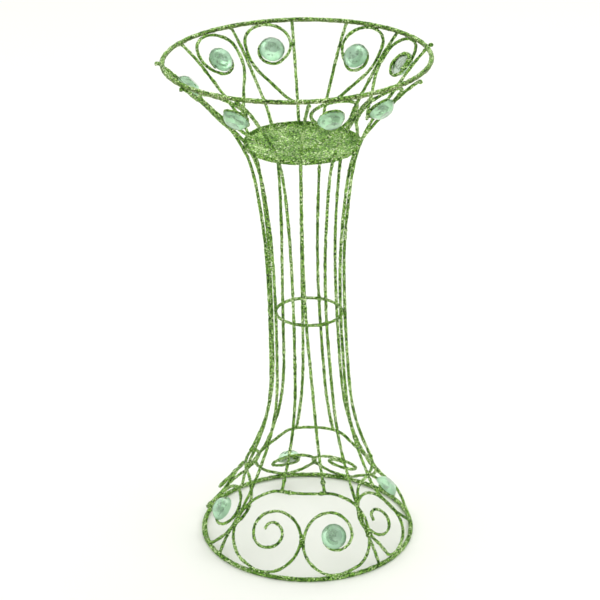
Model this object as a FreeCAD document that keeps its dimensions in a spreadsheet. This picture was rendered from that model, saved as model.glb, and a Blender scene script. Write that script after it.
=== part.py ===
import FreeCAD, Part
import collections
import math
import os
import Sketcher

# Glitter-coated wire stand for a pillar candle, with faceted acrylic gems.
# Frame: +Z up, origin on the floor at the centre of the base ring, front panel
# facing -Y.  Azimuths are in degrees from -Y towards +X.  Lengths are in mm.

os.makedirs("parts", exist_ok=True)
doc = FreeCAD.newDocument("candle_stand")

# ---------------------------------------------------------------- dimensions

DIMENSIONS = (
    ("overall_height", 400.0),
    ("wire_diameter", 2.4),
    ("hoop_wire_diameter", 3.4),
    ("weld_bite", 0.25),
    ("base_hoop_radius", 84.2),
    ("top_hoop_radius", 99.4),
    ("top_hoop_offset", -1.4),
    ("lean_direction", 5.5),
    ("bowl_tilt_degrees", 1.3),
    ("waist_ring_height", 193.0),
    ("waist_ring_radius", 25.9),
    ("waist_ring_offset", 1.7),
    ("pan_radius", 43.8),
    ("pan_base_height", 330.5),
    ("pan_rim_height", 4.0),
    ("pan_sheet", 1.0),
    ("pan_corner_radius", 1.5),
    ("bar_height", 59.2),
    ("gem_diameter", 20.0),
    ("gem_table_diameter", 11.4),
    ("gem_girdle_height", 1.6),
    ("gem_height", 6.4),
    ("gem_star_radius", 7.9),
    ("gem_stand_off", 1.0),
    ("coil_hollow", 0.5),
    ("glue_diameter", 11.0),
    ("glue_depth", 1.8),
)

# Height and wire-circle radius at each bend of the bell-shaped outline, read up
# from the foot: flared base, slim column, kink at the pan, flared bowl.
BELL_STATIONS = (
    (1.7, 84.2), (8.0, 84.1), (17.0, 81.0), (28.0, 73.3), (44.0, 60.6),
    (60.0, 50.9), (85.0, 40.3), (108.0, 34.0), (135.0, 30.9), (193.0, 29.4),
    (239.0, 29.9), (272.0, 32.4), (305.0, 36.8), (322.0, 40.6), (332.5, 45.0),
    (345.0, 51.6), (369.0, 72.8), (385.0, 87.2), (398.3, 99.8), (405.0, 106.0),
)

# Sideways offset of the bent axis at each height: the stand bows a little to one
# side above its foot and leans the other way from there up.
LEAN_STATIONS = ((0.0, 0.0), (60.0, 1.2), (130.0, 1.8), (217.0, -1.6), (304.0, -3.8), (405.0, -7.2))

# Azimuth of each hand-bent upright at the foot, the waist, under the pan and at
# the top hoop.  Corner posts stand on the base hoop, panel posts on a panel's bar.
CORNER_POSTS = {
    "front_right": (47.5, 44.3, 45.5, 36.0, 36.5, 35.5),
    "back_right": (132.5, 132.5, 132.5, 134.0, 135.5, 137.0),
    "back_left": (226.0, 226.0, 226.0, 226.0, 216.5, 216.5),
    "front_left": (309.5, 312.0, 310.0, 312.0, 312.0, 311.0),
}
PANEL_POSTS = {
    "front_left": (-19.0, -14.0, -15.5, -19.5),
    "front_right": (19.0, 4.5, 3.5, 9.5),
    "right_left": (72.0, 67.5, 69.0, 61.5),
    "right_right": (106.4, 97.0, 95.5, 112.0),
    "back_left": (160.5, 167.0, 165.0, 164.0),
    "back_right": (198.0, 192.5, 188.5, 188.5),
    "left_left": (252.6, 254.5, 250.0, 247.0),
    "left_right": (286.0, 288.0, 289.5, 277.5),
}
PANEL_POST_STATIONS = (60.0, 193.0, 304.0, 398.3)
CORNER_POST_STATIONS = (4.0, 25.0) + PANEL_POST_STATIONS

# A spiral of a base panel: its centre on the unrolled bell, its radius over the top, low
# down on its outer side, at its outer side and at its shoulder under the bar, and how far
# it leans in from the bell for each millimetre above the hoop.
Spiral = collections.namedtuple("Spiral", "x y top low side shoulder tuck")

# Each base panel: azimuth, lift of its bar above the front one, and its two spirals.
PANELS = {
    "front": (
        0.0, 0.0,
        Spiral(-24.6, 35.2, 17.4, 30.5, 29.0, 30.6, 0.0),
        Spiral(25.2, 35.2, 18.8, 31.0, 28.2, 31.0, 0.0)),
    "right": (
        81.0, 0.0,
        Spiral(-25.5, 35.0, 23.5, 18.5, 14.6, 22.0, 0.1),
        Spiral(25.2, 41.0, 18.8, 30.0, 28.6, 31.0, 0.17)),
    "back": (
        179.3, 7.3,
        Spiral(-21.5, 25.0, 16.5, 21.0, 28.0, 37.0, 0.17),
        Spiral(23.0, 27.0, 17.0, 22.5, 26.0, 37.0, 0.17)),
    "left": (
        273.5, 0.0,
        Spiral(-24.6, 36.0, 17.4, 30.0, 29.0, 30.6, 0.0),
        Spiral(26.0, 34.5, 20.0, 22.5, 18.4, 28.0, 0.0)),
}

# How far the ends of some panel posts stand past the top hoop.
PROUD_TIPS = {"left_right": 3.2, "right_left": 3.4, "right_right": 2.4}
PLAIN_TIP = 0.6

# Each bowl scroll: the corner post it leans on, the panel post on its other side, whether
# its gem faces outwards, and how far its coil and gem lie from their usual place.
BOWL_SCROLLS = (
    ("front_right_a", "front_right", "front_right", True, (0.0, 0.0)),
    ("front_right_b", "front_right", "right_left", True, (0.0, 0.0)),
    ("back_right_a", "back_right", "right_right", True, (-4.0, 3.0)),
    ("back_right_b", "back_right", "back_left", False, (0.0, -3.5)),
    ("back_left_a", "back_left", "back_right", False, (0.0, 0.0)),
    ("back_left_b", "back_left", "left_left", False, (0.0, 0.0)),
    ("front_left_a", "front_left", "left_right", False, (-5.0, 4.0)),
    ("front_left_b", "front_left", "front_left", True, (5.0, -5.0)),
)


def make_sheet():
    """Spreadsheet of the driving dimensions and the bell outline."""
    sheet = doc.addObject("Spreadsheet::Sheet", "Dimensions")
    rows = list(DIMENSIONS)
    for index, (height, radius) in enumerate(BELL_STATIONS):
        rows.append(("station_height_%02d" % index, height))
        rows.append(("station_radius_%02d" % index, radius))
    for row, (alias, value) in enumerate(rows, 1):
        sheet.set("A%d" % row, alias)
        sheet.set("B%d" % row, str(value))
        sheet.setAlias("B%d" % row, alias)
    doc.recompute()
    return sheet


sheet = make_sheet()


def size(alias):
    """Value of one named cell of the spreadsheet."""
    return float(sheet.get(alias))


WIRE = size("wire_diameter")
HOOP_WIRE = size("hoop_wire_diameter")
BITE = size("weld_bite")
HEIGHT = size("overall_height")
TOP_HOOP_HEIGHT = HEIGHT - HOOP_WIRE / 2
STATIONS = [
    (size("station_height_%02d" % i), size("station_radius_%02d" % i)) for i in range(len(BELL_STATIONS))
]
HOOP_TOUCH = (WIRE + HOOP_WIRE) / 2 - BITE
FOOT_DROP = 0.45      # the bell curves in above the hoop, so a foot is drawn this much lower
FOOT_SPREAD = 9.0     # degrees each side of its lowest point over which a spiral rests on the hoop
POST_REACH = 10.0     # distance over which a scroll lifts to pass a corner post

# ------------------------------------------------------------ the bell surface


def smooth_through(stations, at):
    """Smooth curve through (x, y) stations: cubic pieces with chord slopes."""
    last = len(stations) - 1
    at = min(max(at, stations[0][0]), stations[last][0])
    piece = 0
    while piece < last - 1 and at > stations[piece + 1][0]:
        piece += 1
    (x0, y0), (x1, y1) = stations[piece], stations[piece + 1]
    before = stations[max(piece - 1, 0)]
    after = stations[min(piece + 2, last)]
    slope0 = (y1 - before[1]) / (x1 - before[0])
    slope1 = (after[1] - y0) / (after[0] - x0)
    span = x1 - x0
    u = (at - x0) / span
    return (
        y0 * (1 - u) ** 2 * (1 + 2 * u)
        + y1 * u * u * (3 - 2 * u)
        + slope0 * span * u * (1 - u) ** 2
        - slope1 * span * u * u * (1 - u)
    )


def bell_radius(height):
    return smooth_through(STATIONS, height)


def bell_slope(height):
    """Angle in radians by which the outline leans outwards going up."""
    step = 1.0
    rise = bell_radius(height + step) - bell_radius(height - step)
    return math.atan2(rise, 2 * step)


def lean(point):
    """Move a point of the straight stand to where the bent, tilted stand has it."""
    offset = smooth_through(LEAN_STATIONS, point.z)
    direction = math.radians(size("lean_direction"))
    side = FreeCAD.Vector(math.cos(direction), math.sin(direction), 0)
    share = max(point.z / TOP_HOOP_HEIGHT, 0.0) ** 3
    lift = math.tan(math.radians(size("bowl_tilt_degrees"))) * point.dot(side) * share
    return point + side * offset + FreeCAD.Vector(0, 0, lift)


def on_bell(azimuth, height, proud=0.0):
    """Point on the bell, moved along its outward normal by proud."""
    angle = math.radians(azimuth)
    slope = bell_slope(height)
    radius = bell_radius(height) + proud * math.cos(slope)
    level = height - proud * math.sin(slope)
    return lean(FreeCAD.Vector(radius * math.sin(angle), -radius * math.cos(angle), level))


class UnrolledCone:
    """Flat drawing plane of a cone that follows the bell between two heights.

    x runs to the right as seen from outside, y up the slope from the low end.
    """

    def __init__(self, azimuth, low, high, steps=60):
        self.azimuth = azimuth
        self.samples = []
        run = 0.0
        previous = None
        for index in range(steps + 1):
            height = low + (high - low) * index / steps
            radius = bell_radius(height)
            if previous:
                run += math.hypot(height - previous[0], radius - previous[1])
            self.samples.append((run, height))
            previous = (height, radius)
        self.start_radius = bell_radius(low)
        self.taper = (bell_radius(high) - self.start_radius) / run

    def height(self, run):
        run = max(run, 0.0)
        for (run0, height0), (run1, height1) in zip(self.samples, self.samples[1:]):
            if run <= run1:
                return height0 + (height1 - height0) * (run - run0) / (run1 - run0)
        return self.samples[-1][1]

    def polar(self, x, y):
        """Run up the slope and azimuth of a point of the flat drawing."""
        apex = self.start_radius / self.taper
        across = x
        along = apex + y
        distance = math.copysign(math.hypot(across, along), apex)
        angle = math.degrees(math.atan2(across, abs(along))) / abs(self.taper)
        return distance - apex, self.azimuth + angle

    def point(self, x, y, proud=0.0):
        run, azimuth = self.polar(x, y)
        return on_bell(azimuth, self.height(run), proud)


# ---------------------------------------------------------------- bent wires


def rounded_path(points):
    """Wire path: straight runs joined by tangent arcs as large as the runs allow."""
    edges = []
    at = points[0]
    for before, corner, after in zip(points, points[1:], points[2:]):
        back = before - corner
        on = after - corner
        reach = min(back.Length, on.Length) / 2
        back.normalize()
        on.normalize()
        half_turn = (math.pi - back.getAngle(on)) / 2
        if half_turn < math.radians(0.2):
            continue
        start = corner + back * reach
        end = corner + on * reach
        middle_way = back + on
        middle_way.normalize()
        radius = reach / math.tan(half_turn)
        middle = corner + middle_way * (radius / math.cos(half_turn) - radius)
        if (start - at).Length > 0.02:
            edges.append(Part.LineSegment(at, start).toShape())
        else:
            start = at
        edges.append(Part.Arc(start, middle, end).toShape())
        at = end
    edges.append(Part.LineSegment(at, points[-1]).toShape())
    return Part.Wire(edges)


def bent_wire(label, points, diameter=WIRE):
    """One round wire bent along the points, as its own document object."""
    path = rounded_path(points)
    direction = path.Edges[0].tangentAt(path.Edges[0].FirstParameter)
    circle = Part.Circle(points[0], direction, diameter / 2)
    section = Part.Face(Part.Wire(circle.toShape()))
    solid = path.makePipe(section)
    if solid.ShapeType != "Solid":
        solid = solid.Solids[0]
    expected = math.pi * diameter ** 2 / 4 * path.Length
    if abs(solid.Volume - expected) > 0.02 * expected:
        raise RuntimeError("%s: volume %.1f, expected %.1f" % (label, solid.Volume, expected))
    wire = doc.addObject("Part::Feature", label)
    wire.Label = label
    wire.Shape = solid
    return wire


def swept_points(centre, turns):
    """Points of a spiral in a flat drawing.

    turns is a list of (direction in degrees, radius); directions between two
    entries are filled in evenly with the radius changing evenly.  The points lie a
    little outside the spiral, because the rounded path passes inside them.
    """
    step = 24.0
    points = []
    last = len(turns) - 2
    for number, ((angle0, radius0), (angle1, radius1)) in enumerate(zip(turns, turns[1:])):
        pieces = max(1, round(abs(angle1 - angle0) / step))
        grow = 1 / math.cos(math.radians(abs(angle1 - angle0) / pieces / 2))
        stop = pieces + 1 if number == last else pieces
        for piece in range(stop):
            share = piece / pieces
            angle = math.radians(angle0 + (angle1 - angle0) * share)
            radius = (radius0 + (radius1 - radius0) * share) * grow
            points.append((centre[0] + radius * math.cos(angle), centre[1] + radius * math.sin(angle)))
    return points


# --------------------------------------------------------------------- hoops


def make_hoop(label, radius_alias, height, wire_alias, offset=0.0):
    """A welded round-wire hoop, as a torus placed on the bent axis of the stand."""
    hoop = doc.addObject("Part::Torus", label)
    hoop.Label = label
    hoop.setExpression("Radius1", radius_alias)
    hoop.setExpression("Radius2", "Dimensions.%s / 2" % wire_alias)
    direction = math.radians(size("lean_direction"))
    centre = lean(FreeCAD.Vector(0, 0, height))
    centre += FreeCAD.Vector(math.cos(direction), math.sin(direction), 0) * offset
    across = lean(FreeCAD.Vector(10, 0, height)) - lean(FreeCAD.Vector(0, 0, height))
    along = lean(FreeCAD.Vector(0, 10, height)) - lean(FreeCAD.Vector(0, 0, height))
    normal = across.cross(along)
    hoop.Placement = FreeCAD.Placement(centre, FreeCAD.Rotation(FreeCAD.Vector(0, 0, 1), normal))
    return hoop


# ---------------------------------------------------------------------- pan


def add_line(sketch, start, end):
    return sketch.addGeometry(Part.LineSegment(start, end), False)


def make_pan():
    """Shallow sheet-metal pan: a turned profile with a rolled-up rim."""
    body = doc.addObject("PartDesign::Body", "candle_pan")
    body.Label = "candle_pan"
    sketch = body.newObject("Sketcher::SketchObject", "pan_profile")
    plane = [f for f in body.Origin.OriginFeatures if f.Role == "XZ_Plane"][0]
    sketch.AttachmentSupport = [(plane, "")]
    sketch.MapMode = "FlatFace"
    radius = size("pan_radius")
    rim = size("pan_rim_height")
    sheet_thickness = size("pan_sheet")
    corners = (
        (0.0, 0.0),
        (radius, 0.0),
        (radius, rim),
        (radius - sheet_thickness, rim),
        (radius - sheet_thickness, sheet_thickness),
        (0.0, sheet_thickness),
    )
    vectors = [FreeCAD.Vector(x, z, 0) for x, z in corners]
    count = len(vectors)
    for index in range(count):
        add_line(sketch, vectors[index], vectors[(index + 1) % count])
    for index in range(count):
        sketch.addConstraint(Sketcher.Constraint("Coincident", index, 2, (index + 1) % count, 1))
    sketch.addConstraint(Sketcher.Constraint("Coincident", 0, 1, -1, 1))
    for index in (0, 2, 4):
        sketch.addConstraint(Sketcher.Constraint("Horizontal", index))
    for index in (1, 3, 5):
        sketch.addConstraint(Sketcher.Constraint("Vertical", index))
    named = (
        ("radius", "DistanceX", 0, 1, 0, 2, radius, "pan_radius"),
        ("rim", "DistanceY", 1, 1, 1, 2, rim, "pan_rim_height"),
        ("wall", "DistanceX", 2, 2, 2, 1, sheet_thickness, "pan_sheet"),
        ("floor", "DistanceY", 5, 2, 5, 1, sheet_thickness, "pan_sheet"),
    )
    for name, kind, geo0, pos0, geo1, pos1, value, alias in named:
        number = sketch.addConstraint(Sketcher.Constraint(kind, geo0, pos0, geo1, pos1, value))
        sketch.renameConstraint(number, name)
        sketch.setExpression("Constraints.%s" % name, "Dimensions.%s" % alias)
    doc.recompute()
    turn = body.newObject("PartDesign::Revolution", "pan_turned")
    turn.Profile = sketch
    turn.ReferenceAxis = (sketch, ["V_Axis"])
    turn.Angle = 360.0
    doc.recompute()
    rounding = body.newObject("PartDesign::Fillet", "pan_rolled_corner")
    outer_bottom = []
    for number, edge in enumerate(turn.Shape.Edges, 1):
        if edge.Curve.TypeId != "Part::GeomCircle":
            continue
        at_floor = abs(edge.Curve.Center.z) < 0.01
        if at_floor and abs(edge.Curve.Radius - radius) < 0.01:
            outer_bottom.append("Edge%d" % number)
    rounding.Base = (turn, outer_bottom)
    rounding.setExpression("Radius", "Dimensions.pan_corner_radius / 2")
    base = lean(FreeCAD.Vector(0, 0, size("pan_base_height")))
    body.Placement = FreeCAD.Placement(base, FreeCAD.Rotation())
    return body


# ------------------------------------------------------------- upright wires


def upright_points(post_stations, azimuths, low, tip_past):
    """Centre line of one upright wire from its lower weld to past the top hoop."""
    heights = [low]
    heights += [z for z, radius in STATIONS if low + 6 < z < TOP_HOOP_HEIGHT - 4]
    stations = list(zip(post_stations, azimuths))
    points = [on_bell(smooth_through(stations, height), height) for height in heights]
    under_hoop = on_bell(azimuths[-1], TOP_HOOP_HEIGHT, HOOP_TOUCH)
    run = under_hoop - points[-1]
    run.normalize()
    points.append(under_hoop + run * tip_past)
    return points


def make_uprights():
    """Twelve uprights: one per corner to the base hoop, two per panel to its bar."""
    wires = []
    hoop_top = HOOP_WIRE - 2 * BITE
    for name, azimuths in CORNER_POSTS.items():
        points = upright_points(CORNER_POST_STATIONS, azimuths, hoop_top, PLAIN_TIP)
        wires.append(bent_wire("corner_post_" + name, points))
    bar_top = size("bar_height") + WIRE / 2 - 2 * BITE
    for name, azimuths in PANEL_POSTS.items():
        lift = PANELS[name.split("_")[0]][1]
        tip = PROUD_TIPS.get(name, PLAIN_TIP)
        points = upright_points(PANEL_POST_STATIONS, azimuths, bar_top + lift, tip)
        wires.append(bent_wire("panel_post_" + name, points))
    return wires


# ------------------------------------------------------------------- scrolls


def panel_cone(name):
    azimuth, lift, _, _ = PANELS[name]
    return UnrolledCone(azimuth, HOOP_WIRE / 2, size("bar_height") + lift)


def foot_radius(cone, spiral):
    """Radius of a spiral where it rests on the base hoop."""
    return cone.polar(spiral.x, spiral.y)[0] - HOOP_TOUCH + FOOT_DROP


def foot_direction(cone, spiral):
    """Direction from a spiral's centre straight down the bell to the hoop, in degrees."""
    apex = cone.start_radius / cone.taper
    return math.degrees(math.atan2(apex + spiral.y, spiral.x))


def past_posts(cone, x, y, side):
    """Point of an outer arc, lifted off the bell to pass outside (1) or inside (-1) a corner post."""
    run, azimuth = cone.polar(x, y)
    height = cone.height(run)
    turns = []
    for azimuths in CORNER_POSTS.values():
        post_azimuth = smooth_through(list(zip(CORNER_POST_STATIONS, azimuths)), max(height, 4.0))
        turns.append(abs((azimuth - post_azimuth + 180) % 360 - 180))
    apart = math.radians(min(turns)) * bell_radius(height)
    share = min(max(1.4 - apart / POST_REACH, 0.0), 1.0)
    return cone.point(x, y, side * (WIRE - BITE) * share)


def tucked_surface(cone, spiral):
    """The surface that a spiral's inner turns and its gem lie on: the bell, leaned in above the hoop."""
    foot_level = spiral.y - foot_radius(cone, spiral)
    return lambda x, y: cone.point(x, y, -spiral.tuck * max(y - foot_level, 0.0))


def left_spiral(cone, spiral, side):
    """Points of a left spiral, from its tip to its shoulder. It rests on the hoop at its lowest point."""
    foot = foot_radius(cone, spiral)
    down = foot_direction(cone, spiral) - 720
    inner = (
        (-225, 4.5), (-280, 9.6), (-360, 11.2), (-450, 10.8), (-540, 12.2), (-630, spiral.top),
        (-720, 25.2), (down + FOOT_SPREAD, foot), (down - FOOT_SPREAD, foot),
    )
    outer = ((down - FOOT_SPREAD, foot), (-860, spiral.low), (-900, spiral.side), (-960, spiral.shoulder))
    surface = tucked_surface(cone, spiral)
    centre = (spiral.x, spiral.y)
    points = [surface(x, y) for x, y in swept_points(centre, inner)]
    return points + [past_posts(cone, x, y, side) for x, y in swept_points(centre, outer)[1:]]


def right_spiral(cone, spiral, side):
    """Points of a right spiral, from its shoulder to its tip. It rests on the hoop at its lowest point."""
    foot = foot_radius(cone, spiral)
    down = foot_direction(cone, spiral)
    outer = ((60, spiral.shoulder), (0, spiral.side), (-40, spiral.low), (down + FOOT_SPREAD, foot))
    inner = (
        (down + FOOT_SPREAD, foot), (down - FOOT_SPREAD, foot), (-180, 21.6), (-270, spiral.top),
        (-360, 14.5), (-440, 10.2), (-500, 8.2), (-600, 6.4),
    )
    surface = tucked_surface(cone, spiral)
    centre = (spiral.x, spiral.y)
    points = [past_posts(cone, x, y, side) for x, y in swept_points(centre, outer)[:-1]]
    return points + [surface(x, y) for x, y in swept_points(centre, inner)]


def make_base_scrolls():
    """Four base panels, each one wire bent over the bar with a spiral at either end."""
    bar = ((-27.0, 1.0), (-15.0, 0.0), (0.0, 0.0), (15.0, 0.0), (27.0, 1.0))
    scrolls = []
    for name, (azimuth, lift, left, right) in PANELS.items():
        cone = panel_cone(name)
        side = 1 if name in ("front", "back") else -1
        points = left_spiral(cone, left, side)
        points += [on_bell(azimuth + turn, size("bar_height") + lift - drop) for turn, drop in bar]
        points += right_spiral(cone, right, side)
        scrolls.append(bent_wire("base_scroll_" + name, points))
    return scrolls


BOWL_CONE_START = 345.0
HEAD_CENTRE = (0.5, 52.2)
COIL_CENTRE = (2.4, 46.6)


def bowl_scroll_cone(corner, panel_post):
    """Drawing plane midway between two posts, and the sideways scale of the scroll.

    The scale is negative where the scroll leans on the post to its right.
    """
    drawn_half_gap = 13.6
    corner_azimuth = CORNER_POSTS[corner][-1]
    gap = (PANEL_POSTS[panel_post][-1] - corner_azimuth + 180.0) % 360.0 - 180.0
    cone = UnrolledCone(corner_azimuth + gap / 2, BOWL_CONE_START, TOP_HOOP_HEIGHT)
    scale = min(max(abs(gap) / 2 / drawn_half_gap, 0.85), 1.08)
    return cone, math.copysign(scale, gap)


def make_bowl_scrolls():
    """Eight question-mark scrolls: tail at the pan, round head, coil under the gem.

    Drawn leaning on the post to its left; a negative scale mirrors it.
    """
    tail = ((11.5, -8.5), (4.6, 6.6), (-4.4, 20.4), (-12.6, 31.2), (-16.6, 41.5))
    head = ((165, 17.8), (90, 16.9), (0, 17.8), (-40, 17.2))
    coil = ((-72, 11.4), (-150, 11.0), (-205, 9.0), (-300, 7.8), (-395, 7.4))
    outline = list(tail) + swept_points(HEAD_CENTRE, head)
    curl = swept_points(COIL_CENTRE, coil)
    scrolls = []
    for name, corner, panel_post, _, (aside, up) in BOWL_SCROLLS:
        cone, scale = bowl_scroll_cone(corner, panel_post)
        points = [cone.point(scale * x, y) for x, y in outline]
        points += [cone.point(scale * x + aside, y + up) for x, y in curl]
        scrolls.append(bent_wire("bowl_scroll_" + name, points))
    return scrolls


# ---------------------------------------------------------------------- gems


def gem_solid():
    """Flat-backed round brilliant: table, eight star, eight kite, sixteen rim facets."""
    girdle = size("gem_diameter") / 2
    table = size("gem_table_diameter") / 2
    star = size("gem_star_radius")
    edge_height = size("gem_girdle_height")
    top_height = size("gem_height")
    facets = 8
    half = 180.0 / facets
    along = star * math.cos(math.radians(half))
    share = (along - table) / (girdle - table)
    star_height = top_height + (edge_height - top_height) * share

    def ring(count, radius, height, first):
        points = []
        for index in range(count):
            angle = math.radians(first + index * 360.0 / count)
            points.append(FreeCAD.Vector(radius * math.cos(angle), radius * math.sin(angle), height))
        return points

    table_ring = ring(facets, table, top_height, 0)
    star_ring = ring(facets, star, star_height, half)
    girdle_ring = ring(2 * facets, girdle, edge_height, 0)
    back_ring = ring(2 * facets, girdle, 0.0, 0)
    polygons = [table_ring, back_ring]
    for index in range(facets):
        after = (index + 1) % facets
        polygons.append([table_ring[index], star_ring[index], table_ring[after]])
        kite = [table_ring[index], star_ring[index - 1], girdle_ring[2 * index], star_ring[index]]
        polygons.append(kite)
        polygons.append([star_ring[index], girdle_ring[2 * index], girdle_ring[2 * index + 1]])
        next_girdle = girdle_ring[(2 * index + 2) % (2 * facets)]
        polygons.append([star_ring[index], girdle_ring[2 * index + 1], next_girdle])
    for index in range(2 * facets):
        after = (index + 1) % (2 * facets)
        polygons.append([back_ring[index], back_ring[after], girdle_ring[after], girdle_ring[index]])
    faces = [Part.Face(Part.makePolygon(corners + corners[:1])) for corners in polygons]
    return Part.Solid(Part.Shell(faces))


def facing_placement(surface, x, y, outwards):
    """Placement whose Z axis is the surface's normal, outwards or inwards."""
    centre = surface(x, y)
    upwards = surface(x, y + 1.0) - centre
    normal = (surface(x + 1.0, y) - centre).cross(upwards)
    normal.normalize()
    stand_off = size("gem_stand_off")
    if not outwards:
        normal = normal * -1
        stand_off += size("coil_hollow")
    sideways = upwards.cross(normal)
    turn = FreeCAD.Rotation(sideways, upwards, normal, "ZXY")
    return FreeCAD.Placement(centre + normal * stand_off, turn)


def gem_placements():
    """Label and placement of each gem, over the coil at the end of its scroll."""
    bowl = []
    for name, corner, panel_post, outwards, (aside, up) in BOWL_SCROLLS:
        cone, scale = bowl_scroll_cone(corner, panel_post)
        place = facing_placement(cone.point, scale * COIL_CENTRE[0] + aside, COIL_CENTRE[1] + up, outwards)
        bowl.append(("bowl_gem_" + name, place))
    base = []
    for name, (_, _, _, right) in PANELS.items():
        surface = tucked_surface(panel_cone(name), right)
        base.append(("base_gem_" + name, facing_placement(surface, right.x, right.y, True)))
    return bowl, base


def make_gems(placements):
    """Eight bowl gems and four base gems, all cut alike."""
    shape = gem_solid()
    gems = []
    for label, place in placements:
        gem = doc.addObject("Part::Feature", label)
        gem.Label = label
        gem.Shape = shape
        gem.Placement = place
        gems.append(gem)
    return gems


def make_glue(label, placements):
    """Dots of clear glue that fill the wire coil behind each gem, as one group."""
    dots = []
    for number, (_, place) in enumerate(placements, 1):
        dot = doc.addObject("Part::Cylinder", "%s_%02d" % (label, number))
        dot.setExpression("Radius", "Dimensions.glue_diameter / 2")
        dot.setExpression("Height", "Dimensions.glue_depth")
        into_coil = place.multVec(FreeCAD.Vector(0, 0, -size("glue_depth")))
        dot.Placement = FreeCAD.Placement(into_coil, place.Rotation)
        dots.append(dot)
    group = doc.addObject("Part::Compound", label)
    group.Label = label
    group.Links = dots
    return group


# ------------------------------------------------------------------ assembly

sub_parts = [
    make_hoop("base_hoop", "Dimensions.base_hoop_radius", HOOP_WIRE / 2, "hoop_wire_diameter"),
    make_hoop(
        "top_hoop",
        "Dimensions.top_hoop_radius",
        TOP_HOOP_HEIGHT,
        "hoop_wire_diameter",
        size("top_hoop_offset"),
    ),
    make_hoop(
        "waist_ring",
        "Dimensions.waist_ring_radius",
        size("waist_ring_height"),
        "wire_diameter",
        size("waist_ring_offset"),
    ),
    make_pan(),
]
sub_parts += make_uprights()
sub_parts += make_base_scrolls()
sub_parts += make_bowl_scrolls()
bowl_places, base_places = gem_placements()
sub_parts += make_gems(bowl_places + base_places)
sub_parts.append(make_glue("bowl_gem_glue", bowl_places))
sub_parts.append(make_glue("base_gem_glue", base_places))

doc.recompute()
for item in doc.Objects:
    if "Invalid" in item.State or "Error" in item.State:
        raise RuntimeError("%s failed: %s" % (item.Name, item.State))
for part in sub_parts:
    if part.Shape.isNull() or not part.Shape.isValid():
        raise RuntimeError("%s has no valid shape" % part.Label)
    print("%-28s %10.1f mm3  %d solid(s)" % (part.Label, part.Shape.Volume, len(part.Shape.Solids)))
for part in sub_parts:
    part.Shape.exportStep("parts/%s.step" % part.Label)
print(len(sub_parts), "sub-parts")
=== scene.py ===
"""Looks of a flared wire candle stand: glitter-coated wire, a candle plate and foil-backed gems.

Each coated piece starts as a copy of its CAD node. Spots of solder are added where wires meet, a
voxel skin joins the two, grains are raised on the skin, and loose glitter chips are stuck all over
it.
"""
import math

import bpy
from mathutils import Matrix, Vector


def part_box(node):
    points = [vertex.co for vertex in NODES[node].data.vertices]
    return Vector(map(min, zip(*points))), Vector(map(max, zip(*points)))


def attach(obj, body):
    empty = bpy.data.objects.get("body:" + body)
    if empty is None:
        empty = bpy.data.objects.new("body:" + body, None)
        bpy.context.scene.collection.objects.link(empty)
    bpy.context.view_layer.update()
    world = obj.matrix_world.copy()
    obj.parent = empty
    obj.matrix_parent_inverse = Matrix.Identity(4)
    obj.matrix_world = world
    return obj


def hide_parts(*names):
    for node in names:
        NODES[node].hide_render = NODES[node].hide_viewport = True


bl_info = {
    "name": "Glitter wire candle stand",
    "version": (1, 0, 0),
    "blender": (4, 5, 0),
    "location": "View3D > Sidebar > Candle stand",
    "description": "Coats the packed candle stand in glitter, cuts its gems and sets it on a pale floor",
    "category": "Object",
}

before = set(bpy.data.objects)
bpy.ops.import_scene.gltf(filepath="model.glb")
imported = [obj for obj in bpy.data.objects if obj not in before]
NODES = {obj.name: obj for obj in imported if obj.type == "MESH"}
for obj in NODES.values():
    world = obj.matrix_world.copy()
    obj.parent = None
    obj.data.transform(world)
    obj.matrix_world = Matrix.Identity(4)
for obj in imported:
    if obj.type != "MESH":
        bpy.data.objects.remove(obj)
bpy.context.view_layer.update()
MM = 0.001
BODY = "root"

HOOPS = ["base_hoop", "top_hoop"]
POSTS = sorted(name for name in NODES if "_post_" in name)
SCROLLS = sorted(name for name in NODES if "_scroll_" in name)
GEMS = sorted(name for name in NODES if "_gem_" in name and not name.endswith("_glue"))
GLUE = sorted(name for name in NODES if name.endswith("_glue"))

# Patches where the glue took less glitter: their width, and how far they move a chip's tint.
PATCH_WIDTH = 14 * MM
PATCH_SHIFT = (-0.12, 0.14)

# How far a chip leans: the skin's chips by a share of the normal, the loose chips in radians.
SKIN_LEAN = 1.4
LOOSE_LEAN = 0.75
LOOSE_THICKNESS = 0.14 * MM

# Share of the top hoop's sides and underside painted in the brown glue colour: partly glue showing where
# less glitter stuck, partly painted shade.
TOP_HOOP_BARE_AND_SHADE = 0.4

# Clots of glue and glitter: height above a post's foot, and size against a spot of solder.
CLOTS = {
    "panel_post_front_right": ((4.5, 1.25),),
    "panel_post_front_left": ((1.5, 1.1),),
    "panel_post_back_left": ((9.0, 1.1),),
    "corner_post_front_left": ((31.0, 1.1), (352.0, 1.1)),
    "corner_post_front_right": ((24.0, 1.1), (330.0, 1.1)),
}

# Clots on the front scroll's bar: distance across in millimetres, and size.
BAR_CLOTS = ((-12.5, 1.0), (-9.5, 1.15), (15.5, 1.1))


def linear(code):
    """A linear colour, red, green and blue, from an sRGB hex code."""
    parts = [int(code[index:index + 2], 16) / 255 for index in (1, 3, 5)]
    return tuple(part / 12.92 if part <= 0.04045 else ((part + 0.055) / 1.055) ** 2.4 for part in parts)


def colour(name, description, code):
    """A colour property whose default is given as an sRGB hex code."""
    return bpy.props.FloatVectorProperty(
        name=name, description=description, default=linear(code), size=3, subtype="COLOR", min=0, max=1)


def length(name, description, millimetres):
    """A length property whose default is given in millimetres."""
    return bpy.props.FloatProperty(
        name=name, description=description, default=millimetres * MM, min=0, unit="LENGTH", precision=5)


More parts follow.
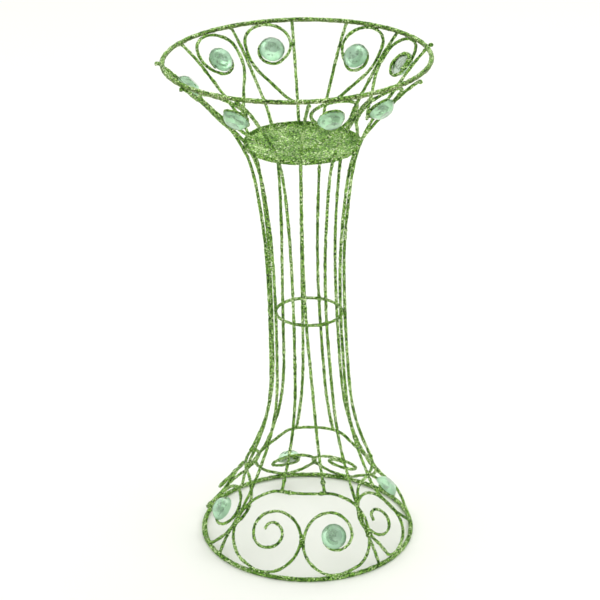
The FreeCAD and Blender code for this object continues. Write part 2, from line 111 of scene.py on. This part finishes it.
class GlitterSettings(bpy.types.PropertyGroup):
    """Sizes and colours of the glitter coat."""

    skin_pitch: length("Skin pitch", "Spacing of the skin's vertices", 0.5)
    plate_pitch: length("Plate skin pitch", "Spacing of the candle plate's skin", 0.65)
    grain: length("Grain", "Width of one glitter grain", 0.75)
    grain_height: length("Grain height", "How far grains rise and sink", 0.55)
    lump_width: length("Lump width", "Width of the coat's uneven lumps", 5.0)
    lump_height: length("Lump height", "How far the uneven lumps rise and sink", 0.7)
    chip_radius: length("Chip radius", "Radius of a loose glitter chip", 0.42)
    chips: bpy.props.FloatProperty(
        name="Chips", description="Loose chips on each square millimetre", default=0.22, min=0)
    shade: colour("Shade", "Chips turned away from the light", "#1E400A")
    leaf: colour("Leaf", "Most chips", "#5C8E2C")
    light: colour("Light", "Chips turned to the light", "#98C65C")
    pale: colour("Pale", "Chips that catch a light", "#E9FAC6")
    # Glue also serves as painted shade on the top hoop's sides and underside.
    glue: colour("Glue", "Dried glue where no glitter stuck", "#574E38")
    solder: length("Solder radius", "Radius of the spot of solder where wires meet", 1.75)


class GemSettings(bpy.types.PropertyGroup):
    """Finish of the acrylic gems."""

    edge: length("Edge radius", "Rounding of the moulded facet edges", 0.12)
    mint: colour("Mint", "Body colour of the acrylic", "#EEFEF1")
    deep_mint: colour("Deep mint", "Body colour where the dye is thicker", "#BFF7CB")
    # Painted dark reflection: the front facet is coloured darker than the acrylic is.
    table_painted_reflection: colour("Table", "Flat front facet, which looks down into the stone", "#47785A")
    foil: colour("Foil", "Reflective backing", "#DDEEDD")


class StageSettings(bpy.types.PropertyGroup):
    """Camera, floor and lights."""

    target: bpy.props.FloatVectorProperty(
        name="Target", description="Point in the middle of the picture",
        default=(-0.00596, -0.00057, 0.20276), size=3, subtype="XYZ", unit="LENGTH", precision=5)
    distance: length("Distance", "From the camera to the target", 1624.6)
    azimuth: bpy.props.FloatProperty(
        name="Azimuth", description="Camera's turn from the front towards the right",
        default=math.radians(5.5), subtype="ANGLE")
    elevation: bpy.props.FloatProperty(
        name="Elevation", description="Camera's height as an angle",
        default=math.radians(24.276), subtype="ANGLE")
    lens: bpy.props.FloatProperty(
        name="Lens", description="Focal length in millimetres", default=125.53, min=1)
    floor: colour("Floor", "Colour of the floor", "#F3F4ED")


def pick(*objects):
    """Selects only these objects, and makes the first one active."""
    bpy.ops.object.select_all(action="DESELECT")
    for each in objects:
        each.select_set(True)
    bpy.context.view_layer.objects.active = objects[0]


def copy_of(node_name, piece_name):
    """A merged copy of a CAD node's mesh, as a piece of its own."""
    source = NODES[node_name]
    piece = bpy.data.objects.new(piece_name, source.data.copy())
    piece.data.name = piece_name
    piece.data.materials.clear()
    bpy.context.scene.collection.objects.link(piece)
    pick(piece)
    bpy.ops.object.mode_set(mode="EDIT")
    bpy.ops.mesh.select_all(action="SELECT")
    bpy.ops.mesh.remove_doubles(threshold=0.002 * MM)
    bpy.ops.object.mode_set(mode="OBJECT")
    return piece


def modify(piece, kind, **settings):
    """Adds one modifier with its settings and applies it."""
    pick(piece)
    bpy.ops.object.modifier_add(type=kind)
    modifier = piece.modifiers[-1]
    for name, value in settings.items():
        setattr(modifier, name, value)
    bpy.ops.object.modifier_apply(modifier=modifier.name)


def add_node(tree, kind, inputs=None, **settings):
    """Adds a node with its settings. Each input is set to a value, or linked if given a socket."""
    made = tree.nodes.new(kind)
    for name, value in settings.items():
        setattr(made, name, value)
    for key, value in (inputs or {}).items():
        if isinstance(value, bpy.types.NodeSocket):
            tree.links.new(value, made.inputs[key])
        else:
            made.inputs[key].default_value = value
    return made


def new_material(name):
    """A material with an empty tree, and that tree."""
    material = bpy.data.materials.new(name)
    material.use_nodes = True
    material.node_tree.nodes.clear()
    return material, material.node_tree


def finish_material(tree, shader):
    """Links a shader to the material's output."""
    add_node(tree, "ShaderNodeOutputMaterial", {"Surface": shader.outputs[0]})


def glitter_material(settings, name, bare_and_shade_below=0.0):
    """Metallised film glitter in clear glue on steel wire: flat chips.

    Each chip has its own tint, gloss and tilt, so the coat sparkles unevenly. The chips are drawn a
    little wider than real ones, because finer ones don't show. bare_and_shade_below is the share of
    brown glue colour on sides and undersides: partly glue showing, partly painted shade.
    """
    material, tree = new_material(name)
    place = add_node(tree, "ShaderNodeTexCoord")
    cells = add_node(
        tree, "ShaderNodeTexVoronoi",
        {"Vector": place.outputs["Object"], "Scale": 1 / settings.grain})
    chance = add_node(tree, "ShaderNodeSeparateColor", {"Color": cells.outputs["Color"]})
    chip = add_node(tree, "ShaderNodeAttribute", attribute_name="chip", attribute_type="GEOMETRY")
    on_chip = add_node(
        tree, "ShaderNodeMath", {0: chip.outputs["Fac"], 1: 0.005}, operation="GREATER_THAN")
    tint = add_node(
        tree, "ShaderNodeMix",
        {"Factor": on_chip.outputs[0], "A": chance.outputs["Red"], "B": chip.outputs["Fac"]})
    # Patches where the glue took less glitter, a few centimetres apart, show more of the dark chips.
    patches = add_node(
        tree, "ShaderNodeTexNoise",
        {"Vector": place.outputs["Object"], "Scale": 1 / PATCH_WIDTH, "Detail": 2.0})
    thin = add_node(
        tree, "ShaderNodeMapRange",
        {"Value": patches.outputs["Fac"], "From Min": 0.35, "From Max": 0.65,
         "To Min": PATCH_SHIFT[0], "To Max": PATCH_SHIFT[1]})
    shifted = add_node(
        tree, "ShaderNodeMath", {0: tint.outputs[0], 1: thin.outputs[0]},
        operation="ADD", use_clamp=True)
    ramp = add_node(tree, "ShaderNodeValToRGB", {"Fac": shifted.outputs[0]})
    ramp.color_ramp.interpolation = "CONSTANT"
    stops = [(0.0, settings.shade), (0.27, settings.leaf), (0.58, settings.light), (0.88, settings.pale)]
    while len(ramp.color_ramp.elements) < len(stops):
        ramp.color_ramp.elements.new(1.0)
    for element, (position, tone) in zip(ramp.color_ramp.elements, stops):
        element.position = position
        element.color = (*tone, 1.0)
    # Sides and undersides take the brown glue colour: partly glue where less glitter fell from above,
    # partly painted shade.
    surface = add_node(tree, "ShaderNodeNewGeometry")
    upright = add_node(tree, "ShaderNodeSeparateXYZ", {0: surface.outputs["Normal"]})
    below = add_node(
        tree, "ShaderNodeMapRange",
        {"Value": upright.outputs["Z"], "From Min": 0.7, "From Max": 0.1,
         "To Min": 0.0, "To Max": bare_and_shade_below})
    coated = add_node(
        tree, "ShaderNodeMix",
        {"Factor": below.outputs[0], "A": ramp.outputs["Color"], "B": (*settings.glue, 1)},
        data_type="RGBA")
    coated_colour = next(out for out in coated.outputs if out.type == "RGBA")
    gloss = add_node(
        tree, "ShaderNodeMapRange",
        {"Value": chance.outputs["Green"], "To Min": 0.18, "To Max": 0.5})
    spread = add_node(
        tree, "ShaderNodeVectorMath", {0: cells.outputs["Color"], 1: (0.5, 0.5, 0.5)},
        operation="SUBTRACT")
    tilt = add_node(
        tree, "ShaderNodeVectorMath", {0: spread.outputs[0], "Scale": SKIN_LEAN}, operation="SCALE")
    leaning = add_node(
        tree, "ShaderNodeVectorMath", {0: tilt.outputs[0], 1: surface.outputs["Normal"]},
        operation="ADD")
    facing = add_node(tree, "ShaderNodeVectorMath", {0: leaning.outputs[0]}, operation="NORMALIZE")
    shader = add_node(
        tree, "ShaderNodeBsdfPrincipled",
        {"Base Color": coated_colour, "Metallic": 0.65, "Roughness": gloss.outputs[0],
         "Normal": facing.outputs[0]})
    finish_material(tree, shader)
    return material


def acrylic_material(name, pale, deep):
    """Dyed cast acrylic: clear, glossy, mottled pale and deep mint by uneven dye; on the front facet,
    painted dark reflection.
    """
    material, tree = new_material(name)
    place = add_node(tree, "ShaderNodeTexCoord")
    # The mottle mixes the two colours: uneven dye, and on the front facet a painted dark reflection.
    dye = add_node(
        tree, "ShaderNodeTexNoise",
        {"Vector": place.outputs["Object"], "Scale": 1 / (6 * MM), "Detail": 1.0})
    body = add_node(
        tree, "ShaderNodeMix", {"Factor": dye.outputs["Fac"], "A": (*pale, 1), "B": (*deep, 1)},
        data_type="RGBA")
    body_colour = next(out for out in body.outputs if out.type == "RGBA")
    shader = add_node(
        tree, "ShaderNodeBsdfPrincipled",
        {"Base Color": body_colour, "Roughness": 0.03, "IOR": 1.49, "Transmission Weight": 1.0})
    finish_material(tree, shader)
    return material


def foil_material(settings):
    """Vacuum-metallised backing film: a soft silver mirror, slightly crinkled."""
    material, tree = new_material("metallised_backing_foil")
    place = add_node(tree, "ShaderNodeTexCoord")
    crinkle = add_node(
        tree, "ShaderNodeTexNoise",
        {"Vector": place.outputs["Object"], "Scale": 1 / (2.5 * MM), "Detail": 3.0})
    bump = add_node(
        tree, "ShaderNodeBump",
        {"Height": crinkle.outputs["Fac"], "Strength": 0.25, "Distance": 0.3 * MM})
    haze = add_node(
        tree, "ShaderNodeMapRange", {"Value": crinkle.outputs["Fac"], "To Min": 0.2, "To Max": 0.45})
    shader = add_node(
        tree, "ShaderNodeBsdfPrincipled",
        {"Base Color": (*settings.foil, 1), "Metallic": 1.0, "Roughness": haze.outputs[0],
         "Normal": bump.outputs["Normal"]})
    finish_material(tree, shader)
    return material


def glue_material():
    """Hot-melt glue: clear and slightly milky, with a soft gloss."""
    material, tree = new_material("hot_melt_glue")
    place = add_node(tree, "ShaderNodeTexCoord")
    cloud = add_node(
        tree, "ShaderNodeTexNoise",
        {"Vector": place.outputs["Object"], "Scale": 1 / (3 * MM), "Detail": 2.0})
    haze = add_node(
        tree, "ShaderNodeMapRange", {"Value": cloud.outputs["Fac"], "To Min": 0.15, "To Max": 0.4})
    shader = add_node(
        tree, "ShaderNodeBsdfPrincipled",
        {"Base Color": (*linear("#E9F2E6"), 1), "Roughness": haze.outputs[0], "IOR": 1.48,
         "Transmission Weight": 0.8})
    finish_material(tree, shader)
    return material


def shared(name, make, *arguments):
    """The material of that name, made the first time it is asked for."""
    return bpy.data.materials.get(name) or make(*arguments)


def chip_shape(settings):
    """One loose chip: a thin hexagon cut from film, closed all round."""
    shape = bpy.data.objects.get("loose_chip")
    if shape is None:
        bpy.ops.object.select_all(action="DESELECT")
        bpy.ops.mesh.primitive_cylinder_add(
            vertices=6, radius=settings.chip_radius, depth=LOOSE_THICKNESS, end_fill_type="NGON")
        shape = bpy.context.active_object
        shape.name = "loose_chip"
    return shape


def chip_scatter(settings):
    """Geometry nodes that stick loose chips on a skin, each with its own lean and tint."""
    tree = bpy.data.node_groups.get("loose_chips")
    if tree is not None:
        return tree
    tree = bpy.data.node_groups.new("loose_chips", "GeometryNodeTree")
    for way in ("INPUT", "OUTPUT"):
        tree.interface.new_socket("Geometry", in_out=way, socket_type="NodeSocketGeometry")
    start = add_node(tree, "NodeGroupInput")
    spots = add_node(
        tree, "GeometryNodeDistributePointsOnFaces",
        {"Mesh": start.outputs[0], "Density": settings.chips / MM ** 2, "Seed": 7})
    lean = add_node(tree, "FunctionNodeRandomValue", data_type="FLOAT_VECTOR")
    lean.inputs[0].default_value = (-LOOSE_LEAN, -LOOSE_LEAN, -math.pi)
    lean.inputs[1].default_value = (LOOSE_LEAN, LOOSE_LEAN, math.pi)
    turned = add_node(
        tree, "FunctionNodeRotateRotation",
        {"Rotation": spots.outputs["Rotation"], "Rotate By": lean.outputs[0]}, rotation_space="LOCAL")
    width = add_node(tree, "FunctionNodeRandomValue", data_type="FLOAT")
    width.inputs[2].default_value = 0.7
    width.inputs[3].default_value = 1.3
    shape = add_node(tree, "GeometryNodeObjectInfo", {"Object": chip_shape(settings)})
    stuck = add_node(
        tree, "GeometryNodeInstanceOnPoints",
        {"Points": spots.outputs["Points"], "Instance": shape.outputs["Geometry"],
         "Rotation": turned.outputs[0], "Scale": width.outputs[1]})
    chance = add_node(tree, "FunctionNodeRandomValue", data_type="FLOAT")
    chance.inputs[2].default_value = 0.01
    chance.inputs[3].default_value = 1.0
    tinted = add_node(
        tree, "GeometryNodeStoreNamedAttribute",
        {"Geometry": stuck.outputs[0], "Name": "chip", "Value": chance.outputs[1]},
        data_type="FLOAT", domain="INSTANCE")
    real = add_node(tree, "GeometryNodeRealizeInstances", {"Geometry": tinted.outputs[0]})
    both = add_node(tree, "GeometryNodeJoinGeometry", {"Geometry": real.outputs[0]})
    tree.links.new(start.outputs[0], both.inputs[0])
    add_node(tree, "NodeGroupOutput", {0: both.outputs[0]})
    return tree


def relief(name, kind, width):
    """A procedural height texture for raising lumps or grains."""
    texture = bpy.data.textures.get(name) or bpy.data.textures.new(name, kind)
    texture.noise_scale = width
    return texture


def middle(node_name, low, high):
    """The centre of a CAD node's vertices between two heights."""
    inside = [vertex.co for vertex in NODES[node_name].data.vertices if low <= vertex.co.z <= high]
    if not inside:
        raise RuntimeError(f"{node_name} has no vertices between {low} and {high}")
    return sum(inside, Vector()) / len(inside)


def wire_at(node_name, height):
    """The middle of a standing wire at a height, from the two nearest rings of its vertices."""
    heights = sorted({round(vertex.co.z, 5) for vertex in NODES[node_name].data.vertices})
    below = max((z for z in heights if z <= height), default=heights[0])
    above = min((z for z in heights if z >= height), default=heights[-1])
    reach = 1.5 * MM
    return middle(node_name, min(below, height) - reach, max(above, height) + reach)


def bar_at(node_name, across):
    """The middle of a scroll's bar, its topmost run, at a distance across from the middle."""
    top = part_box(node_name)[1].z
    near = [
        vertex.co for vertex in NODES[node_name].data.vertices
        if abs(vertex.co.x - across) < 6 * MM and vertex.co.z > top - 4 * MM]
    if not near:
        raise RuntimeError(f"{node_name} has no bar at {across}")
    place = sum(near, Vector()) / len(near)
    return Vector((across, place.y, place.z))


def add_spot(piece, place, radii):
    """Joins a spot of solder, a squashed ball, to a piece before its skin is made."""
    bpy.ops.object.select_all(action="DESELECT")
    bpy.ops.mesh.primitive_ico_sphere_add(subdivisions=2, radius=1.0, location=place, scale=radii)
    spot = bpy.context.active_object
    pick(piece, spot)
    bpy.ops.object.join()


def coat(node_name, settings, pitch, spots=(), bare_and_shade_below=0.0):
    """The glitter coat of one CAD node: skin, lumps, grains and loose chips, as one piece."""
    piece = copy_of(node_name, f"{node_name}_glitter")
    for place, radii in spots:
        add_spot(piece, place, radii)
    modify(piece, "REMESH", mode="VOXEL", voxel_size=pitch, use_smooth_shade=False)
    lumps = relief("coat_lumps", "CLOUDS", settings.lump_width)
    modify(
        piece, "DISPLACE", texture=lumps, strength=settings.lump_height, mid_level=0.5,
        texture_coords="LOCAL")
    grains = relief("coat_grains", "CLOUDS", settings.grain)
    modify(
        piece, "DISPLACE", texture=grains, strength=settings.grain_height, mid_level=0.5,
        texture_coords="LOCAL")
    modify(piece, "NODES", node_group=chip_scatter(settings))
    bpy.ops.object.shade_flat()
    piece.data.materials.clear()
    # The top hoop's material paints shade on sides and undersides, in the glue colour.
    name = "film_glitter_bare_and_shaded_below" if bare_and_shade_below else "film_glitter_in_glue"
    piece.data.materials.append(shared(name, glitter_material, settings, name, bare_and_shade_below))
    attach(piece, BODY)
    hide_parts(node_name)
    return piece


class STAND_OT_coat_hoops(bpy.types.Operator):
    """Coats the base hoop, the top hoop and the waist ring"""

    bl_idname = "stand.coat_hoops"
    bl_label = "Coat the hoops"

    def execute(self, context):
        settings = context.scene.stand_glitter
        for name in HOOPS:
            # Only the top hoop gets the glue colour on sides and underside: partly glue showing, partly
            # painted shade.
            glue_and_shade_share = TOP_HOOP_BARE_AND_SHADE if name == "top_hoop" else 0.0
            coat(name, settings, settings.skin_pitch, bare_and_shade_below=glue_and_shade_share)
        coat("waist_ring", settings, settings.skin_pitch)
        return {"FINISHED"}


class STAND_OT_coat_posts(bpy.types.Operator):
    """Coats the twelve posts, with solder at both ends and at the waist ring"""

    bl_idname = "stand.coat_posts"
    bl_label = "Coat the posts"

    def execute(self, context):
        settings = context.scene.stand_glitter
        radius = settings.solder
        waist = sum(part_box("waist_ring"), Vector()).z / 2
        for name in POSTS:
            low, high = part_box(name)
            ends = [
                (middle(name, low.z, low.z + 2 * MM), (radius, radius, radius)),
                (middle(name, high.z - 5 * MM, high.z - 1.5 * MM), (0.9 * radius, 0.9 * radius, radius)),
                (wire_at(name, waist), (0.8 * radius, 0.8 * radius, 0.9 * radius)),
            ]
            for height, swelling in CLOTS.get(name, ()):
                size = swelling * radius
                ends.append((wire_at(name, low.z + height * MM), (size, size, size)))
            coat(name, settings, settings.skin_pitch, ends)
        return {"FINISHED"}


class STAND_OT_coat_scrolls(bpy.types.Operator):
    """Coats the base scrolls and the bowl scrolls"""

    bl_idname = "stand.coat_scrolls"
    bl_label = "Coat the scrolls"

    def execute(self, context):
        settings = context.scene.stand_glitter
        radius = settings.solder
        for name in SCROLLS:
            clots = []
            if name == "base_scroll_front":
                for across, swelling in BAR_CLOTS:
                    size = swelling * radius
                    clots.append((bar_at(name, across * MM), (size, 0.9 * size, size)))
            coat(name, settings, settings.skin_pitch, clots)
        return {"FINISHED"}


class STAND_OT_coat_plate(bpy.types.Operator):
    """Coats the candle plate"""

    bl_idname = "stand.coat_plate"
    bl_label = "Coat the candle plate"

    def execute(self, context):
        settings = context.scene.stand_glitter
        coat("candle_pan", settings, settings.plate_pitch)
        return {"FINISHED"}


class STAND_OT_cut_gems(bpy.types.Operator):
    """Finishes the gems: rounded facet edges, dyed acrylic and a foil back"""

    bl_idname = "stand.cut_gems"
    bl_label = "Finish the gems"

    def execute(self, context):
        settings = context.scene.stand_gems
        crown = shared(
            "dyed_cast_acrylic", acrylic_material, "dyed_cast_acrylic", settings.mint,
            settings.deep_mint)
        # The front facet's second colour is a painted dark reflection, not dye.
        table_painted_reflection = shared(
            "cast_acrylic_front_painted_reflection", acrylic_material, "cast_acrylic_front_painted_reflection", settings.mint,
            settings.table_painted_reflection)
        foil = shared("metallised_backing_foil", foil_material, settings)
        for name in GEMS:
            piece = copy_of(name, f"{name}_cut")
            bpy.ops.object.mode_set(mode="EDIT")
            bpy.ops.mesh.select_all(action="SELECT")
            bpy.ops.mesh.dissolve_limited(angle_limit=math.radians(0.5))
            bpy.ops.object.mode_set(mode="OBJECT")
            for material in (crown, foil, table_painted_reflection):
                piece.data.materials.append(material)
            front, back = sorted(piece.data.polygons, key=lambda face: face.area)[-2:]
            # The largest face in front takes the material with the painted dark reflection.
            front.material_index = 2
            back.material_index = 1
            modify(piece, "BEVEL", width=settings.edge, segments=2, limit_method="ANGLE",
                   angle_limit=math.radians(8))
            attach(piece, BODY)
            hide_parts(name)
        return {"FINISHED"}


class STAND_OT_set_glue(bpy.types.Operator):
    """Rounds the glue spots behind the gems"""

    bl_idname = "stand.set_glue"
    bl_label = "Set the glue"

    def execute(self, context):
        clear = shared("hot_melt_glue", glue_material)
        swell = relief("glue_swell", "CLOUDS", 4 * MM)
        for name in GLUE:
            piece = copy_of(name, f"{name}_set")
            modify(piece, "REMESH", mode="VOXEL", voxel_size=0.45 * MM)
            modify(piece, "SMOOTH", factor=0.5, iterations=8)
            modify(
                piece, "DISPLACE", texture=swell, strength=0.8 * MM, mid_level=0.5,
                texture_coords="LOCAL")
            bpy.ops.object.shade_smooth()
            piece.data.materials.clear()
            piece.data.materials.append(clear)
            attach(piece, BODY)
            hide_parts(name)
        return {"FINISHED"}


def area_light(name, place, aim, size, power, tone="#FFFFFF"):
    """One soft square light at a place, turned to its aim."""
    lamp = bpy.data.lights.new(name, "AREA")
    lamp.shape = "SQUARE"
    lamp.size = size
    lamp.energy = power
    lamp.color = linear(tone)
    holder = bpy.data.objects.new(name, lamp)
    holder.location = place
    holder.rotation_euler = (Vector(aim) - Vector(place)).to_track_quat("-Z", "Y").to_euler()
    bpy.context.scene.collection.objects.link(holder)


class STAND_OT_set_stage(bpy.types.Operator):
    """Sets the floor, the soft lights and the camera"""

    bl_idname = "stand.set_stage"
    bl_label = "Set the stage"

    def execute(self, context):
        settings = context.scene.stand_stage
        bpy.ops.object.select_all(action="DESELECT")
        bpy.ops.mesh.primitive_grid_add(x_subdivisions=8, y_subdivisions=8, size=16, location=(0, 0, 0))
        floor = context.active_object
        floor.name = "studio_floor"
        material, tree = new_material("matt_paper_sweep")
        place = add_node(tree, "ShaderNodeTexCoord")
        mottle = add_node(
            tree, "ShaderNodeTexNoise", {"Vector": place.outputs["Object"], "Scale": 2.0, "Detail": 2.0})
        tone = add_node(
            tree, "ShaderNodeMapRange", {"Value": mottle.outputs["Fac"], "To Min": 0.75, "To Max": 0.85})
        shader = add_node(
            tree, "ShaderNodeBsdfPrincipled",
            {"Base Color": (*settings.floor, 1), "Roughness": tone.outputs[0],
             "Specular IOR Level": 0.2})
        finish_material(tree, shader)
        floor.data.materials.append(material)

        world = bpy.data.worlds.new("white_room")
        world.use_nodes = True
        world.node_tree.nodes["Background"].inputs["Color"].default_value = (1, 1, 1, 1)
        world.node_tree.nodes["Background"].inputs["Strength"].default_value = 0.88
        context.scene.world = world
        context.scene.view_settings.view_transform = "Standard"

        aim = (0, 0, 0.2)
        area_light("overhead_softbox", (0.2, 0.9, 2.2), aim, 1.8, 17)
        area_light("left_softbox", (-1.9, -0.6, 1.3), aim, 1.2, 7)
        area_light("right_softbox", (1.9, -0.5, 1.3), aim, 1.2, 7)

        flat = settings.distance * math.cos(settings.elevation)
        offset = Vector((flat * math.sin(settings.azimuth), -flat * math.cos(settings.azimuth),
                         settings.distance * math.sin(settings.elevation)))
        lens = bpy.data.cameras.new("camera")
        lens.sensor_width = 36
        lens.lens = settings.lens
        lens.clip_start = 0.05
        holder = bpy.data.objects.new("camera", lens)
        holder.location = Vector(settings.target) + offset
        holder.rotation_euler = (math.pi / 2 - settings.elevation, 0, settings.azimuth)
        context.scene.collection.objects.link(holder)
        context.scene.camera = holder
        return {"FINISHED"}


STEPS = (
    STAND_OT_coat_hoops, STAND_OT_coat_posts, STAND_OT_coat_scrolls, STAND_OT_coat_plate,
    STAND_OT_cut_gems, STAND_OT_set_glue, STAND_OT_set_stage,
)


class STAND_PT_steps(bpy.types.Panel):
    """Lists the steps that dress the candle stand"""

    bl_label = "Candle stand"
    bl_idname = "STAND_PT_steps"
    bl_space_type = "VIEW_3D"
    bl_region_type = "UI"
    bl_category = "Candle stand"

    def draw(self, context):
        for step in STEPS:
            self.layout.operator(step.bl_idname)


SETTINGS = {"stand_glitter": GlitterSettings, "stand_gems": GemSettings, "stand_stage": StageSettings}
CLASSES = (*SETTINGS.values(), *STEPS, STAND_PT_steps)


def register():
    for each in CLASSES:
        bpy.utils.register_class(each)
    for name, group in SETTINGS.items():
        setattr(bpy.types.Scene, name, bpy.props.PointerProperty(type=group))


def unregister():
    for name in SETTINGS:
        delattr(bpy.types.Scene, name)
    for each in reversed(CLASSES):
        bpy.utils.unregister_class(each)


def main():
    """Dresses the stand in order."""
    register()
    bpy.ops.stand.coat_hoops()
    bpy.ops.stand.coat_posts()
    bpy.ops.stand.coat_scrolls()
    bpy.ops.stand.coat_plate()
    bpy.ops.stand.cut_gems()
    bpy.ops.stand.set_glue()
    bpy.ops.stand.set_stage()
    bpy.data.objects.remove(bpy.data.objects["loose_chip"])
    bpy.context.view_layer.update()


if __name__ == "__main__":
    main()
